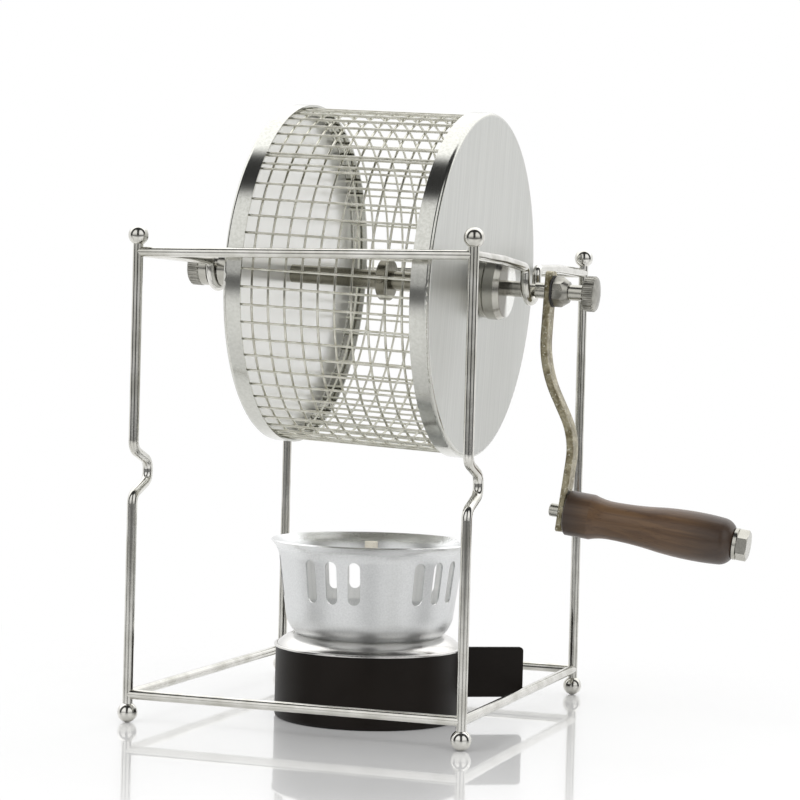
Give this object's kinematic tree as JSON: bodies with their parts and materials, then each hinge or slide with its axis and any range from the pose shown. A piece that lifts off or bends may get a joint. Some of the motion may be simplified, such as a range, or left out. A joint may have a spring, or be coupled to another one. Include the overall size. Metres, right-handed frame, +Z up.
{
  "type": "hand cranked coffee bean roaster",
  "caption": "Wire mesh roasting drum on a wire stand, turned by a side crank with a wooden grip over a small wick burner with a slotted cup.",
  "frame": {"origin": "centre of the burner's underside, on the surface that the roaster stands on", "axes": "+Z up, +X along the axle towards the crank, +Y from the front to the back"},
  "size_m": [0.2267, 0.1568, 0.2349],
  "materials": {
    "stand_wire": "polished",
    "cap_steel": "brushed",
    "mesh_steel": "satin",
    "machined_steel": "turned",
    "knob_steel": "knurled",
    "black_washer": "matte",
    "crank_bronze": "cast, satin",
    "walnut": "oiled",
    "pot_enamel": "satin",
    "tray_steel": "polished",
    "wick_cotton": "woven",
    "cup_aluminium": "satin, grainy"
  },
  "bodies": {
    "stand": {"front_left_leg": "stand_wire", "front_left_foot_ball": "stand_wire", "front_left_top_ball": "stand_wire", "front_right_leg": "stand_wire", "front_right_foot_ball": "stand_wire", "front_right_top_ball": "stand_wire", "back_left_leg": "stand_wire", "back_left_foot_ball": "stand_wire", "back_left_top_ball": "stand_wire", "back_right_leg": "stand_wire", "back_right_foot_ball": "stand_wire", "back_right_top_ball": "stand_wire", "bottom_front_rail": "stand_wire", "bottom_back_rail": "stand_wire", "top_front_rail": "stand_wire", "top_back_rail": "stand_wire", "bottom_left_rail": "stand_wire", "bottom_right_rail": "stand_wire", "top_left_saddle_rail": "stand_wire", "top_right_saddle_rail": "stand_wire"},
    "drum": {"axle": "machined_steel", "left_end_cap": "cap_steel", "right_end_cap": "cap_steel", "mesh_long_wires": "mesh_steel", "mesh_hoops": "mesh_steel", "spacer_tube": "machined_steel", "inner_collar": "machined_steel", "collar_screw": "machined_steel", "left_hub": "machined_steel", "left_knob": "knob_steel", "right_hub_flange": "machined_steel", "right_hub_ring": "machined_steel", "crank_arm": "crank_bronze", "crank_washer": "black_washer", "crank_nut": "knob_steel", "right_knob": "knob_steel", "handle_bolt": "machined_steel", "handle_washer": "machined_steel"},
    "grip": {"wooden_grip": "walnut"},
    "burner": {"burner_pot": "pot_enamel", "burner_tray": "tray_steel", "wick_tube": "tray_steel", "wick": "wick_cotton", "burner_handle": "pot_enamel"},
    "cup": {"burner_cup": "cup_aluminium"}
  },
  "joints": [
    {"name": "drum_spin", "type": "hinge", "parent": "stand", "child": "drum", "pos_m": [-0.0093, 0.0169, 0.16744], "axis": [0.9986, 0, -0.0523], "continuous": true},
    {"name": "grip_spin", "type": "hinge", "parent": "drum", "child": "grip", "pos_m": [0.07061, 0.0169, 0.08054], "axis": [0.9914, 0, -0.1312], "continuous": true},
    {"name": "burner_lift", "type": "slide", "parent": "stand", "child": "burner", "axis": [0, 0, 1], "range_m": [0, 0.014]},
    {"name": "cup_lift", "type": "slide", "parent": "burner", "child": "cup", "axis": [0, 0, 1], "range_m": [0, 0.016]}
  ]
}
